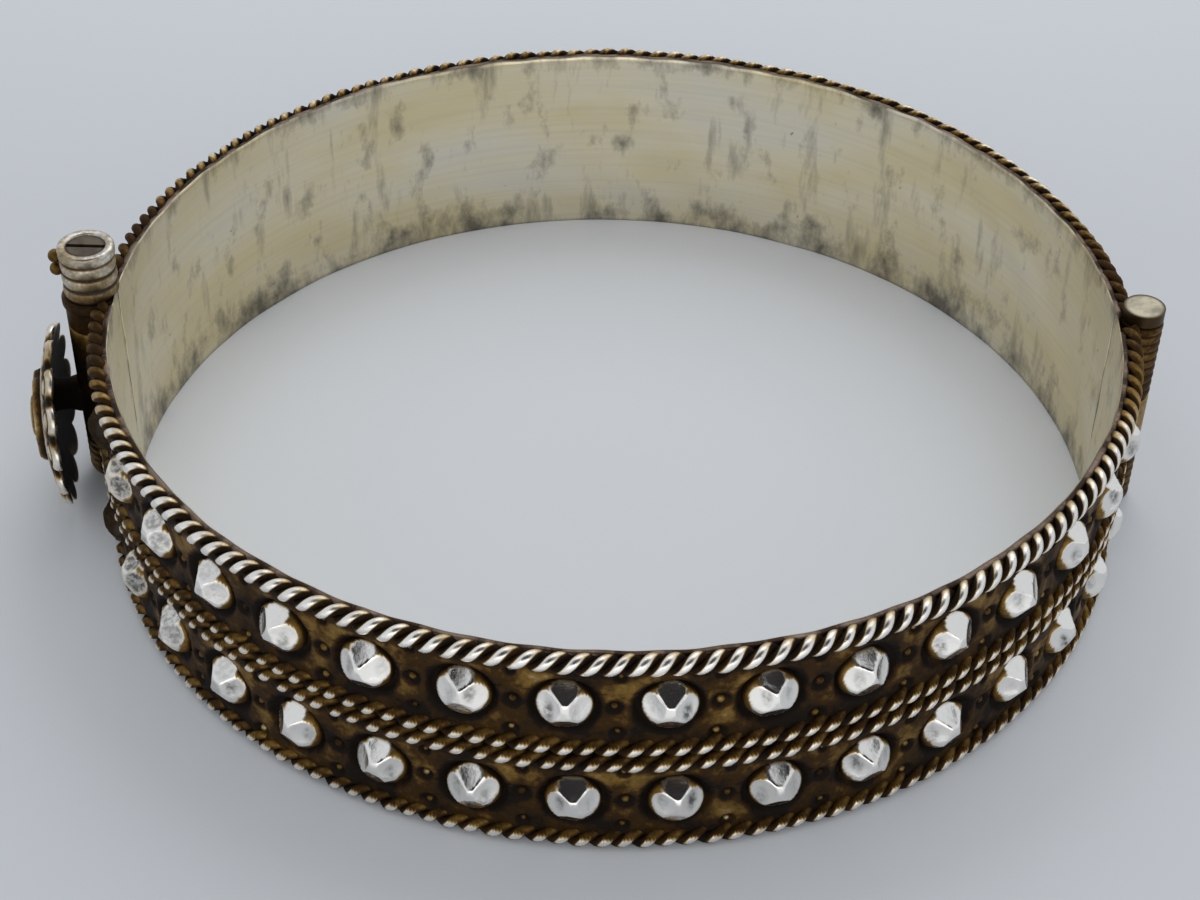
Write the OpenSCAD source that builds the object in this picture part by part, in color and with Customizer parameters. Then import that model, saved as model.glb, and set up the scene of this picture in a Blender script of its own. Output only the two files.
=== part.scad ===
// Silver bangle in two hinged halves, closed and lying on its side.
// Each half is a curved sheet with twisted wires, raised strips and faceted studs.
// Z is up along the axis of the wrist opening, +X points at the hinge, -X at the clasp.
// The origin is the centre of the wrist opening, on the plane that the lower edges rest on.
// Lengths are millimetres and angles are degrees.

/* [Band] */
// Inside diameter of the wrist opening
inner_d = 60; // [50:0.5:72]
// Height of the sheet along the wrist
band_h = 13.7; // [12:0.1:20]
// Thickness of the sheet
sheet_t = 0.4; // [0.3:0.05:0.8]
// Gap between the ends of the two halves
seam_gap = 0.2; // [0.1:0.05:0.5]

/* [Wires] */
// Diameter of each wire over its twist
wire_d = 1.2; // [0.8:0.05:1.6]
// Distance from the sheet's outside to the middle of each wire
wire_out = 0.3; // [0.1:0.05:0.5]
// Height of the middle of the lowest wire
low_wire_z = 0.7; // [0.6:0.05:1]
// Height of the middle of the top wire
top_wire_z = 13.3; // [12:0.05:20]
// Height of the seam between the two middle wires
mid_wires_z = 7; // [5:0.1:10]
// Distance between the middles of the two middle wires
mid_wires_pitch = 1.16; // [0.8:0.02:1.5]

/* [Raised strips] */
// Height of the raised strips above the sheet
strip_t = 0.42; // [0.2:0.02:0.8]
// Diameter of the round pocket about each stud
pocket_d = 3.8; // [3:0.1:4.5]

/* [Studs] */
// Radius of the ball that each stud is cut from
stud_ball_r = 1.55; // [1:0.05:2]
// Distance that the middle of that ball is sunk below the sheet's outside
stud_sink = 0.2; // [0:0.05:0.3]
// Height of the upper row
upper_row_z = 10.44; // [8:0.02:15]
// Height of the lower row
lower_row_z = 3.54; // [2:0.02:6]
// Angle from the clasp to the first stud of the upper row
upper_row_start = 7.6; // [6:0.1:12]
// Angle from the clasp to the first stud of the lower row
lower_row_start = 7.8; // [6:0.1:12]
// Angle between studs of the upper row
upper_row_step = 9.82; // [9:0.02:12]
// Angle between studs of the lower row
lower_row_step = 9.92; // [9:0.02:12]
// Number of studs in the upper row of each half
upper_row_count = 18; // [10:1:20]
// Number of studs in the lower row of each half
lower_row_count = 17; // [10:1:20]

/* [Clasp] */
// Diameter of the clasp's knuckles
clasp_d = 3.4; // [2.5:0.1:5]
// Distance from the inner wall to the clasp's axis
clasp_out = 1.55; // [1.3:0.05:2.5]
// Height of the top of the lower knuckle
clasp_low_z = 3.5; // [2:0.1:5]
// Height of the bottom of the upper knuckle
clasp_high_z = 11.4; // [8:0.1:13]
// Height of the flange's lower face
flange_z = 12.75; // [11:0.05:14]
// Height of the flange
flange_h = 0.7; // [0.4:0.05:1]
// Diameter of the flange
flange_d = 3.7; // [3.4:0.1:5]
// Height of the top of the ribbed collar
collar_top_z = 16.8; // [14:0.1:20]
// Number of ribs on the collar
collar_ribs = 4; // [2:1:8]
// Diameter of the two grains on the collar's outer side
grain_d = 0.85; // [0.5:0.05:1.2]
// Distance that the grains stand clear of each other
grain_gap = 0.05; // [0.02:0.01:0.3]

/* [Clasp screw] */
// Diameter of the screw's shank
screw_d = 2.3; // [1.5:0.05:3]
// Width of the screw's slot
slot_w = 0.32; // [0.2:0.02:0.6]
// Depth of the screw's slot
slot_depth = 0.4; // [0.2:0.05:0.8]
// Height of the lower end of the screw
screw_bottom_z = 0.75; // [0.5:0.05:2]

/* [Rosette] */
// Radius of the rosette over its petals
rosette_r = 5.7; // [4:0.1:5.7]
// Number of petals
rosette_petals = 14; // [8:1:20]
// Diameter of each petal's round end
petal_d = 2.3; // [1.5:0.1:3]
// Thickness of the petals
petal_t = 0.5; // [0.4:0.05:1]
// Height that the petals' middle stands above their rim
rosette_dome = 1; // [0.4:0.05:1.5]
// Radius of the raised inner flower
inner_flower_r = 2.9; // [2:0.1:4]
// Number of petals of the inner flower
inner_petals = 10; // [6:1:14]
// Height of the inner flower above the middle of the dome
inner_flower_t = 0.3; // [0.1:0.05:0.8]
// Radius of the round boss at the centre
boss_r = 1.35; // [0.8:0.05:2]
// Height of the boss above the inner flower
boss_h = 0.35; // [0.2:0.05:1]
// Height of the rosette's centre
rosette_z = 5.95; // [5.8:0.05:8]
// Angle that the rosette is turned from square to the clasp, towards the front
rosette_turn = 10; // [0:1:30]
// Distance that the rosette's centre is shifted along its back face, towards the front
rosette_shift = 2; // [0:0.05:2.5]
// Gap between the knuckle and the plane of the rosette's rim
rosette_gap = 0.7; // [0.4:0.05:1]
// Diameter of the stem that carries the rosette
stem_d = 2.4; // [1.5:0.1:3]

/* [Hinge] */
// Diameter of the hinge's knuckles
hinge_d = 2.6; // [2:0.1:4]
// Distance from the inner wall to the hinge's axis
hinge_out = 1.65; // [1.3:0.05:2.5]
// Height of the top of the lower knuckle
hinge_low_z = 4.3; // [2:0.1:6]
// Height of the bottom of the upper knuckle
hinge_high_z = 8; // [6:0.1:11]
// Height of the top of the upper knuckle
hinge_top_z = 13.4; // [11:0.1:15]
// Height of the lower end of the hinge pin
pin_bottom_z = 0.1; // [0.05:0.05:0.5]
// Diameter of the hinge pin's shank
pin_d = 1.3; // [0.8:0.05:1.6]
// Diameter of the hinge pin's head
pin_head_d = 2.5; // [1.8:0.1:4]
// Height of the hinge pin's head
pin_head_h = 0.75; // [0.3:0.05:1.5]

/* [Fits] */
// Gap between neighbouring knuckles, and under the pin's head
knuckle_gap = 0.1; // [0.05:0.01:0.3]
// Radial clearance of the screw and of the hinge pin in their bores
running_fit = 0.03; // [0.02:0.01:0.1]
// Clear space between a knuckle and the end of the other half
end_clearance = 0.2; // [0.1:0.05:0.5]
// Height of one rib of the ribbed knuckles
rib_pitch = 0.6; // [0.4:0.05:1]
// Share of a rib's height that its round side takes
rib_share = 0.96; // [0.8:0.02:0.98]

/* [Colours] */
// Colour of the bright silver
silver_colour = "#cfcac0"; // [#cfcac0, #d8d4cc, #b8b2a6]
// Colour of the dark worn screw
screw_colour = "#a89a86"; // [#a89a86, #8f8270, #cfcac0]

/* [Hidden] */
$fn = 96;

inner_r = inner_d / 2;
sheet_r = inner_r + sheet_t;
wire_r = sheet_r + wire_out;
low_mid_wire_z = mid_wires_z - mid_wires_pitch / 2;
high_mid_wire_z = mid_wires_z + mid_wires_pitch / 2;
wire_heights = [low_wire_z, low_mid_wire_z, high_mid_wire_z, top_wire_z];
strip_inset = wire_d / 6;
// Each raised strip runs from one wire to the next: [lower edge, upper edge].
strip_spans = [
    [low_wire_z + strip_inset, low_mid_wire_z - strip_inset],
    [high_mid_wire_z + strip_inset, top_wire_z - strip_inset]
];
// Each row of studs: [height, first angle, step, count].
stud_rows = [
    [upper_row_z, upper_row_start, upper_row_step, upper_row_count],
    [lower_row_z, lower_row_start, lower_row_step, lower_row_count]
];
// Each flat on a stud: [turn along the band, tilt upward, distance from the ball's middle].
stud_flats = [
    [0, 53, 1.29],
    [42, 6, 1.41],
    [-42, 6, 1.41],
    [0, -29, 1.39],
    [0, 0, 1.5]
];

// The halves run counter-clockwise from these angles.
back_start = 0;
front_start = 180;
seam_angle = asin(seam_gap / 2 / inner_r);
clasp_x = -(inner_r + clasp_out);
hinge_x = inner_r + hinge_out;
clasp_clear_r = flange_d / 2 + end_clearance / 2;
hinge_clear_r = hinge_d / 2 + end_clearance;
screw_bore_r = screw_d / 2 + running_fit;
screw_bore_z = screw_bottom_z - knuckle_gap;
pin_bore_r = pin_d / 2 + running_fit;
collar_z = flange_z + flange_h;
far = 40;

// One radial flat cut away from a stud's ball.
module stud_flat(flat) {
    rotate([0, -flat[1], flat[0]])
        translate([flat[2], -stud_ball_r, -stud_ball_r])
            cube(2 * stud_ball_r);
}

// A stud on the +X side at height zero, with its base sunk in the sheet.
module stud() {
    base_x = inner_r + sheet_t / 2;
    difference() {
        translate([sheet_r - stud_sink, 0, 0]) {
            difference() {
                rotate([0, 90, 0])
                    sphere(r = stud_ball_r);
                for (flat = stud_flats) stud_flat(flat);
            }
        }
        translate([base_x - 2 * stud_ball_r, -stud_ball_r, -stud_ball_r])
            cube(2 * stud_ball_r);
    }
}

// Puts its children at each stud's place on the half that starts at angle half_start.
module at_studs(half_start) {
    // The rows are counted from the clasp, which is the back half's far end.
    side = half_start == front_start ? 1 : -1;
    for (row = stud_rows)
        for (i = [0 : row[3] - 1])
            rotate([0, 0, 180 + side * (row[1] + i * row[2])])
                translate([0, 0, row[0]])
                    children();
}

// The band's cross-section: sheet, wires and raised strips.
module band_section() {
    translate([inner_r, 0])
        square([sheet_t, band_h]);
    for (z = wire_heights)
        translate([wire_r, z])
            circle(d = wire_d);
    for (span = strip_spans)
        translate([inner_r + sheet_t / 2, span[0]])
            square([sheet_t / 2 + strip_t, span[1] - span[0]]);
    // Solder fills the space behind the two middle wires.
    translate([inner_r + sheet_t / 2, low_mid_wire_z])
        square([sheet_t / 2 + wire_out, mid_wires_pitch]);
}

// One half's band with its studs, each in a round pocket.
module studded_band(half_start) {
    difference() {
        rotate([0, 0, half_start + seam_angle])
            rotate_extrude(angle = 180 - 2 * seam_angle)
                band_section();
        at_studs(half_start)
            translate([sheet_r, 0, 0])
                rotate([0, 90, 0])
                    cylinder(d = pocket_d, h = wire_d);
    }
    at_studs(half_start) stud();
}

// Half of the section of a round knuckle that stands from z0 to z1.
module smooth_section(d, z0, z1) {
    translate([0, z0])
        square([d / 2, z1 - z0]);
}

// Half of the section of a knuckle that stands from z0 to z1 with round ribs about it.
module ribbed_section(d, z0, z1, ribs) {
    pitch = (z1 - z0) / ribs;
    rib_r = rib_share * pitch / 2;
    smooth_section(d - rib_r, z0, z1);
    for (i = [0 : ribs - 1])
        translate([d / 2 - rib_r, z0 + (i + 0.5) * pitch])
            circle(r = rib_r);
}

// The clear space that one half leaves about a joint's axis between two heights.
module joint_clearance(x, r, z0, z1) {
    translate([x, 0, z0])
        cylinder(r = r, h = z1 - z0);
}

module screw_bore() {
    translate([clasp_x, 0, screw_bore_z])
        cylinder(r = screw_bore_r, h = far);
}

module pin_bore() {
    translate([hinge_x, 0, -1])
        cylinder(r = pin_bore_r, h = far);
}

// The flower's outline: round petals about a disc.
module flower(r, petals, d) {
    ring_r = r - d / 2;
    circle(r = ring_r);
    for (i = [0 : petals - 1])
        rotate(i * 360 / petals)
            translate([ring_r, 0])
                circle(d = d);
}

// The domed petals, with their rim at height zero and their middle upward.
module domed_petals() {
    dome_r = (pow(rosette_r, 2) + pow(rosette_dome, 2)) / (2 * rosette_dome);
    intersection() {
        translate([0, 0, -petal_t])
            linear_extrude(rosette_dome + 3 * petal_t)
                rotate(90 / rosette_petals)
                    flower(rosette_r, rosette_petals, petal_d);
        translate([0, 0, rosette_dome + petal_t - dome_r])
            difference() {
                sphere(r = dome_r);
                sphere(r = dome_r - petal_t);
            }
    }
}

// The rosette, with its rim at x = 0 and its boss towards +X.
module rosette() {
    inner_z = rosette_dome + petal_t / 4;
    inner_top_z = rosette_dome + petal_t + inner_flower_t;
    rotate([0, 90, 0]) {
        domed_petals();
        translate([0, 0, inner_z])
            linear_extrude(inner_top_z - inner_z)
                rotate(90 / inner_petals)
                    flower(inner_flower_r, inner_petals, petal_d);
        translate([0, 0, inner_top_z - inner_flower_t / 2])
            cylinder(r = boss_r, h = boss_h + inner_flower_t / 2);
    }
}

// The rosette on its stem, turned to face outward from the clasp.
module clasp_rosette() {
    rim_x = clasp_d / 2 + rosette_gap;
    stem_end_x = rim_x + rosette_dome + petal_t / 6;
    translate([clasp_x, 0, rosette_z])
        rotate([0, 0, 180 + rosette_turn]) {
            translate([rim_x, rosette_shift, 0])
                rosette();
            translate([screw_bore_r, 0, 0])
                rotate([0, 90, 0])
                    cylinder(d = stem_d, h = stem_end_x - screw_bore_r);
        }
}

// A grain on the collar's outer side, centred at height z.
module collar_grain(z) {
    translate([-clasp_d / 2 - grain_d / 4, 0, z])
        rotate([0, 90, 0])
            sphere(d = grain_d);
}

// The back half's clasp knuckles, with the flange, the ribbed collar and its grains.
module back_clasp() {
    translate([clasp_x, 0, 0]) {
        rotate_extrude()
            ribbed_section(clasp_d, 0, clasp_low_z, round(clasp_low_z / rib_pitch));
        rotate_extrude() {
            smooth_section(clasp_d, clasp_high_z, flange_z + flange_h / 2);
            smooth_section(flange_d, flange_z, collar_z);
            ribbed_section(clasp_d, collar_z - flange_h / 2, collar_top_z, collar_ribs);
        }
        collar_grain(collar_top_z - grain_d);
        collar_grain(collar_top_z - 2 * grain_d - grain_gap);
    }
}

// The front half's clasp knuckle.
module front_clasp() {
    translate([clasp_x, 0, 0])
        rotate_extrude()
            smooth_section(clasp_d, clasp_low_z + knuckle_gap, clasp_high_z - knuckle_gap);
}

// The back half's hinge knuckles.
module back_hinge() {
    translate([hinge_x, 0, 0]) {
        rotate_extrude()
            ribbed_section(hinge_d, 0, hinge_low_z, round(hinge_low_z / rib_pitch));
        rotate_extrude()
            ribbed_section(hinge_d, hinge_high_z, hinge_top_z, round((hinge_top_z - hinge_high_z) / rib_pitch));
    }
}

// The front half's hinge knuckle.
module front_hinge() {
    translate([hinge_x, 0, 0])
        rotate_extrude()
            smooth_section(hinge_d, hinge_low_z + knuckle_gap, hinge_high_z - knuckle_gap);
}

// The back half: band, studs, two outer knuckles at each joint, flange and collar.
module back_band() {
    color(silver_colour)
        difference() {
            union() {
                difference() {
                    studded_band(back_start);
                    joint_clearance(clasp_x, clasp_clear_r, clasp_low_z, clasp_high_z);
                    joint_clearance(hinge_x, hinge_clear_r, hinge_low_z, hinge_high_z);
                    joint_clearance(hinge_x, hinge_clear_r, hinge_top_z + knuckle_gap / 2, far);
                }
                back_clasp();
                back_hinge();
            }
            screw_bore();
            pin_bore();
        }
}

// The front half: band, studs, one knuckle at each joint and the rosette.
module front_band() {
    color(silver_colour)
        difference() {
            union() {
                difference() {
                    studded_band(front_start);
                    joint_clearance(clasp_x, clasp_clear_r, -1, clasp_low_z + knuckle_gap);
                    joint_clearance(clasp_x, clasp_clear_r, clasp_high_z - knuckle_gap, far);
                    joint_clearance(hinge_x, hinge_clear_r, -1, hinge_low_z + knuckle_gap);
                    joint_clearance(hinge_x, hinge_clear_r, hinge_high_z - knuckle_gap, far);
                }
                front_clasp();
                front_hinge();
                clasp_rosette();
            }
            screw_bore();
            pin_bore();
        }
}

// The headed pin that the hinge turns on.
module hinge_pin() {
    head_z = hinge_top_z + knuckle_gap;
    color(silver_colour)
        translate([hinge_x, 0, 0]) {
            translate([0, 0, pin_bottom_z])
                cylinder(d = pin_d, h = head_z + pin_head_h / 2 - pin_bottom_z);
            translate([0, 0, head_z])
                cylinder(d = pin_head_d, h = pin_head_h);
        }
}

// The slotted screw that closes the clasp.
module clasp_screw() {
    top_z = collar_top_z - knuckle_gap;
    color(screw_colour)
        translate([clasp_x, 0, 0])
            difference() {
                translate([0, 0, screw_bottom_z])
                    cylinder(d = screw_d, h = top_z - screw_bottom_z);
                translate([-screw_d, -slot_w / 2, top_z - slot_depth])
                    cube([2 * screw_d, slot_w, 2 * slot_depth]);
            }
}

back_band();
front_band();
hinge_pin();
clasp_screw();
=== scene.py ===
# A silver bangle's surface: twisted wires, faceted studs, raised strips, clasp, rosette and tarnish.
# Sizes and places are in millimetres, and angles along the band are degrees from the clasp.
import math
import bpy
import numpy as np
from mathutils import Matrix, Vector


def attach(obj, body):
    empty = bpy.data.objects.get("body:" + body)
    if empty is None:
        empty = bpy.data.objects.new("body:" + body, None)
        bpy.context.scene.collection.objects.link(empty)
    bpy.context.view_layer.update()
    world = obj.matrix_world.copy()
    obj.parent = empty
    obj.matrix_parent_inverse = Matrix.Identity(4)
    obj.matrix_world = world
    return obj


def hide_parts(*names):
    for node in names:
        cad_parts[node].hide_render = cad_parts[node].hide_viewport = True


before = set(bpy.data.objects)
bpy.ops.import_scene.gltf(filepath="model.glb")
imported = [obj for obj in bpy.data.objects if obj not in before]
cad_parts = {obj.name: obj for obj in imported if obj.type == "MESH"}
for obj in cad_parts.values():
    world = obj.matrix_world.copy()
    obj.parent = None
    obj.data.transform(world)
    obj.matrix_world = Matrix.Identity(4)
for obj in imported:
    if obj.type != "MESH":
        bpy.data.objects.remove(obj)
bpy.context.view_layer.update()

MM = 0.001

# The band: the sheet's inner radius, thickness and height, and the angle from each seam to its end.
INNER_R = 30.0
SHEET_T = 0.4
BAND_H = 13.7
SEAM_ANGLE = 0.03
SHEET_R = INNER_R + SHEET_T

# The twisted wires: two strands each, laid on the sheet.
WIRE_HEIGHTS = (0.7, 6.42, 7.58, 13.3)
WIRE_R = 30.7
WIRE_HALF = 0.6
STRANDS = 2
STRAND_R = 0.31
LOBE_PITCH = 1.16

# The raised strips between the wires, with a round pocket about each stud.
STRIP_T = 0.42
STRIP_SPANS = ((0.9, 6.22), (7.78, 13.1))
POCKET_R = 1.82
STRIP_STEP = {"front": 0.125, "back": 0.16}

# The upper and the lower row of studs on a half: their height, the first one's angle, the angle from one
# to the next, and how many there are.
STUD_ROWS = (
    {"height": 10.44, "first": 7.6, "step": 9.82, "count": 18},
    {"height": 3.54, "first": 7.8, "step": 9.92, "count": 17},
)
STUD_R = 1.55
STUD_SINK = 0.2

# The joints: the axis's distance from the centre, the knuckles' radius, the bore's radius,
# the clear radius that the other half keeps, and the heights of the front half's own knuckle.
CLASP = {"axis_r": 31.55, "knuckle_r": 1.7, "bore_r": 1.18, "clear_r": 1.92, "own": (3.6, 11.3)}
HINGE = {"axis_r": 31.65, "knuckle_r": 1.3, "bore_r": 0.68, "clear_r": 1.48, "own": (4.4, 7.9)}

# The gap between knuckles, and the heights of their feet, the hinge's top, the flange and the collar.
KNUCKLE_GAP = 0.1
FOOT_Z = 0.02
HINGE_TOP_Z = 13.4
FLANGE_Z = 12.75
COLLAR_Z = 13.45
COLLAR_TOP_Z = 16.8

# The dirt value that marks the sheet's edges and outside.
EDGE_MARK = 1.5

# How far the sheet's thin tongue reaches where it passes behind a knuckle, and the knuckle's inner face.
TONGUE_R = 30.06
KNUCKLE_FACE_R = 30.13

# The heights at which dirt darkens the seams on the inside.
CLASP_SEAM_DASHES = ((3.4, 4.8), (11.8, 13.4))
HINGE_SEAM_DASHES = ((4.2, 9.5),)

# The two halves: the way that angles from the clasp run, and the body.
HALVES = (("front", 1, "front_half"), ("back", -1, "back_half"))


# Mesh building.

# How many sides a turned form has.
TURNED_SIDES = 64


def smooth_step(low, high, x):
    """A soft step from zero at low to one at high, which may lie below low."""
    t = np.clip((x - low) / (high - low), 0, 1)
    return t * t * (3 - 2 * t)


def around(count):
    """Angles spread evenly about a full turn."""
    return np.linspace(0, 2 * np.pi, count, endpoint=False)


def on_band(side, along, r, z):
    """Points in millimetres at angles from the clasp, distances from the axis and heights."""
    turn = np.pi + side * np.radians(along)
    return np.stack(np.broadcast_arrays(r * np.cos(turn), r * np.sin(turn), z), -1)


def loft(sections, ring=False):
    """Vertices and faces of a skin through closed sections, shaped (count, points, 3)."""
    count, points = sections.shape[:2]
    index = np.arange(count * points).reshape(count, points)
    after = np.roll(index, -1, axis=0)
    near = index if ring else index[:-1]
    far = after if ring else after[:-1]
    quads = np.stack([near, far, np.roll(far, -1, axis=1), np.roll(near, -1, axis=1)], -1)
    faces = quads.reshape(-1, 4).tolist()
    if not ring:
        faces += [index[0].tolist(), index[-1][::-1].tolist()]
    return sections.reshape(-1, 3), faces


def volume_sign(verts, faces):
    """The sign of the volume that the faces enclose."""
    quads = np.array([f for f in faces if len(f) == 4])
    first, *others = (verts[quads[:, i]] for i in range(4))
    total = 0
    for second, third in zip(others[:-1], others[1:]):
        total += np.einsum("ij,ij->i", first, np.cross(second, third)).sum()
    return 1 if total > 0 else -1


class Skin:
    """Gathers closed shells, with each point's dirt, painted shading and place, into one mesh object."""

    def __init__(self):
        self.verts = []
        self.faces = []
        self.dirt = []
        self.place = []
        self.count = 0

    def add(self, verts, faces, dirt, place=None):
        """Takes in one closed shell, with its faces turned outward."""
        verts = np.asarray(verts, float)
        if volume_sign(verts, faces) < 0:
            faces = [f[::-1] for f in faces]
        self.faces += [[i + self.count for i in f] for f in faces]
        self.verts.append(verts)
        self.dirt.append(np.broadcast_to(np.asarray(dirt, float), len(verts)))
        self.place.append(np.zeros((len(verts), 3)) if place is None else place.reshape(-1, 3))
        self.count += len(verts)

    def build(self, name, material, body):
        """Makes the mesh object, which rides on a body."""
        mesh = bpy.data.meshes.new(name)
        mesh.from_pydata((np.concatenate(self.verts) * MM).tolist(), [], self.faces)
        dirt = mesh.attributes.new("dirt", "FLOAT", "POINT")
        dirt.data.foreach_set("value", np.concatenate(self.dirt).astype(np.float32))
        place = mesh.attributes.new("place", "FLOAT_VECTOR", "POINT")
        place.data.foreach_set("vector", np.concatenate(self.place).astype(np.float32).ravel())
        mesh.polygons.foreach_set("use_smooth", np.ones(len(mesh.polygons), bool))
        mesh.materials.append(material)
        piece = bpy.data.objects.new(name, mesh)
        bpy.context.scene.collection.objects.link(piece)
        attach(piece, body)
        return piece


def ball(radius, centre, rings=8, sides=12):
    """Verts and faces of a small ball."""
    polar = np.linspace(0.02, np.pi - 0.02, rings)[:, None]
    turn = around(sides)[None, :]
    out = radius * np.sin(polar)
    up = radius * np.cos(polar)
    points = np.stack(np.broadcast_arrays(out * np.cos(turn), out * np.sin(turn), up), -1)
    return loft(points + np.asarray(centre, float))


def revolve(profile, x):
    """Verts and faces of a closed profile of [radius, height] points turned about a joint's axis."""
    profile = np.asarray(profile, float)
    turn = around(TURNED_SIDES)[:, None]
    r, z = profile[None, :, 0], profile[None, :, 1]
    points = np.stack(np.broadcast_arrays(x + r * np.cos(turn), r * np.sin(turn), z), -1)
    return loft(points, ring=True)


def softened(corners, size=0.07):
    """A closed profile with each corner replaced by a small curve."""
    corners = np.asarray(corners, float)
    out = []
    for i, corner in enumerate(corners):
        for_side = []
        for other in (corners[i - 1], corners[(i + 1) % len(corners)]):
            way = other - corner
            length = np.linalg.norm(way)
            for_side.append(corner + way * min(0.45, size / max(length, 1e-6)))
        out += [for_side[0], (for_side[0] + 2 * corner + for_side[1]) / 4, for_side[1]]
    return np.array(out)


def rib_wall(r, z0, z1, ribs, depth, steps=8):
    """Outside points of a wall of round ribs, from z0 up to z1."""
    t = (np.arange(ribs * steps) + 0.5) / steps
    bulge = np.sqrt(1 - 0.97 * (2 * (t % 1) - 1) ** 2)
    return np.stack([r - depth * (1 - bulge), z0 + t / ribs * (z1 - z0)], -1)


# Where each half stops short of a joint.

def stop_angle(joint, r, gap):
    """The angle from a joint's axis at which a circle of radius r is gap away from that axis."""
    axis_r = joint["axis_r"]
    cosine = (axis_r ** 2 + r ** 2 - gap ** 2) / (2 * axis_r * r)
    return np.degrees(np.arccos(np.clip(cosine, -1, 1)))


def is_own(half, joint, z, spread=0.0):
    """Whether the half's own knuckle stands at that height, for something spread either side of it."""
    low, high = joint["own"]
    z = np.asarray(z, float)
    if half == "front":
        return (z - spread > low - KNUCKLE_GAP) & (z + spread < high + KNUCKLE_GAP)
    return (z + spread < low) | (z - spread > high)


def ends(half, r, z, spread=0.0):
    """First and last angle of something on a half, at distance r and height z."""
    out = []
    for joint in (CLASP, HINGE):
        own_end = stop_angle(joint, r, (joint["bore_r"] + joint["knuckle_r"]) / 2)
        other_end = stop_angle(joint, r, joint["clear_r"])
        out.append(np.maximum(np.where(is_own(half, joint, z, spread), own_end, other_end), SEAM_ANGLE))
    return out[0], 180 - out[1]


def clear_reach(half, along, r, z):
    """The sheet's distance r, drawn in to a thin tongue where the other half's knuckle passes."""
    for joint, off in ((CLASP, np.radians(along)), (HINGE, np.radians(180 - along))):
        across = joint["axis_r"] * np.sin(off)
        depth = np.sqrt(np.maximum(joint["clear_r"] ** 2 - across ** 2, 0))
        limit = np.where(across < joint["clear_r"], joint["axis_r"] * np.cos(off) - depth, r)
        limit = np.where(is_own(half, joint, z), r, limit)
        r = np.minimum(r, np.maximum(limit, TONGUE_R))
    return r


# Materials.

def shader(name):
    """A new node material: its node tree and its main shader."""
    material = bpy.data.materials.new(name)
    material.use_nodes = True
    return material, material.node_tree, material.node_tree.nodes["Principled BSDF"]


def noise(tree, vector, scale, detail=4.0, roughness=0.55):
    """A cloudy texture that averages one half."""
    node = tree.nodes.new("ShaderNodeTexNoise")
    node.inputs["Scale"].default_value = scale
    node.inputs["Detail"].default_value = detail
    node.inputs["Roughness"].default_value = roughness
    tree.links.new(vector, node.inputs["Vector"])
    return node.outputs["Fac"]


def maths(tree, operation, a, b, clamp=False):
    """The result of an operation on two values, either of which may be a plain number."""
    node = tree.nodes.new("ShaderNodeMath")
    node.operation = operation
    node.use_clamp = clamp
    for socket, value in zip(node.inputs, (a, b)):
        if isinstance(value, (int, float)):
            socket.default_value = value
        else:
            tree.links.new(value, socket)
    return node.outputs["Value"]


def ramp(tree, factor, stops):
    """A colour ramp over (position, (r, g, b)) stops."""
    node = tree.nodes.new("ShaderNodeValToRGB")
    while len(node.color_ramp.elements) < len(stops):
        node.color_ramp.elements.new(0.5)
    for element, (position, colour) in zip(node.color_ramp.elements, stops):
        element.position = position
        element.color = (*colour, 1)
    tree.links.new(factor, node.inputs["Fac"])
    return node.outputs["Color"]


def varied(tree, value, texture, amount, clamp=False):
    """A value raised and lowered by a texture that averages one half."""
    swing = maths(tree, "MULTIPLY", maths(tree, "SUBTRACT", texture, 0.5), amount)
    return maths(tree, "ADD", value, swing, clamp)


def span(tree, value, from_low, from_high, to_low, to_high):
    """A value mapped from one range to another and held at its ends."""
    node = tree.nodes.new("ShaderNodeMapRange")
    node.inputs["From Min"].default_value = from_low
    node.inputs["From Max"].default_value = from_high
    node.inputs["To Min"].default_value = to_low
    node.inputs["To Max"].default_value = to_high
    tree.links.new(value, node.inputs["Value"])
    return node.outputs["Result"]


def blend(tree, factor, first, second):
    """A mix of two colours."""
    node = tree.nodes.new("ShaderNodeMix")
    node.data_type = "RGBA"
    for socket, value in ((node.inputs[0], factor), (node.inputs[6], first), (node.inputs[7], second)):
        if isinstance(value, tuple):
            socket.default_value = (*value, 1)
        elif isinstance(value, (int, float)):
            socket.default_value = value
        else:
            tree.links.new(value, socket)
    return node.outputs[2]


def stretched(tree, vector, x, y, z):
    """A place with each of its coordinates scaled."""
    node = tree.nodes.new("ShaderNodeVectorMath")
    node.operation = "MULTIPLY"
    node.inputs[1].default_value = (x, y, z)
    tree.links.new(vector, node.inputs[0])
    return node.outputs["Vector"]


def attribute(tree, name, output):
    """What a piece's points carry under a name."""
    node = tree.nodes.new("ShaderNodeAttribute")
    node.attribute_name = name
    return node.outputs[output]


def object_place(tree):
    """The place on a piece, in metres."""
    return tree.nodes.new("ShaderNodeTexCoord").outputs["Object"]


def in_mirror(tree):
    """One where something is seen mirrored in metal, and zero elsewhere."""
    return tree.nodes.new("ShaderNodeLightPath").outputs["Is Glossy Ray"]


def coordinates(tree, vector):
    """The separate coordinates of a place."""
    node = tree.nodes.new("ShaderNodeSeparateXYZ")
    tree.links.new(vector, node.inputs["Vector"])
    return node.outputs


def bump(tree, main, height, strength, distance):
    """Lets a texture's height lean the surface's normal."""
    node = tree.nodes.new("ShaderNodeBump")
    node.inputs["Strength"].default_value = strength
    node.inputs["Distance"].default_value = distance
    tree.links.new(height, node.inputs["Height"])
    tree.links.new(node.outputs["Normal"], main.inputs["Normal"])
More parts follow.
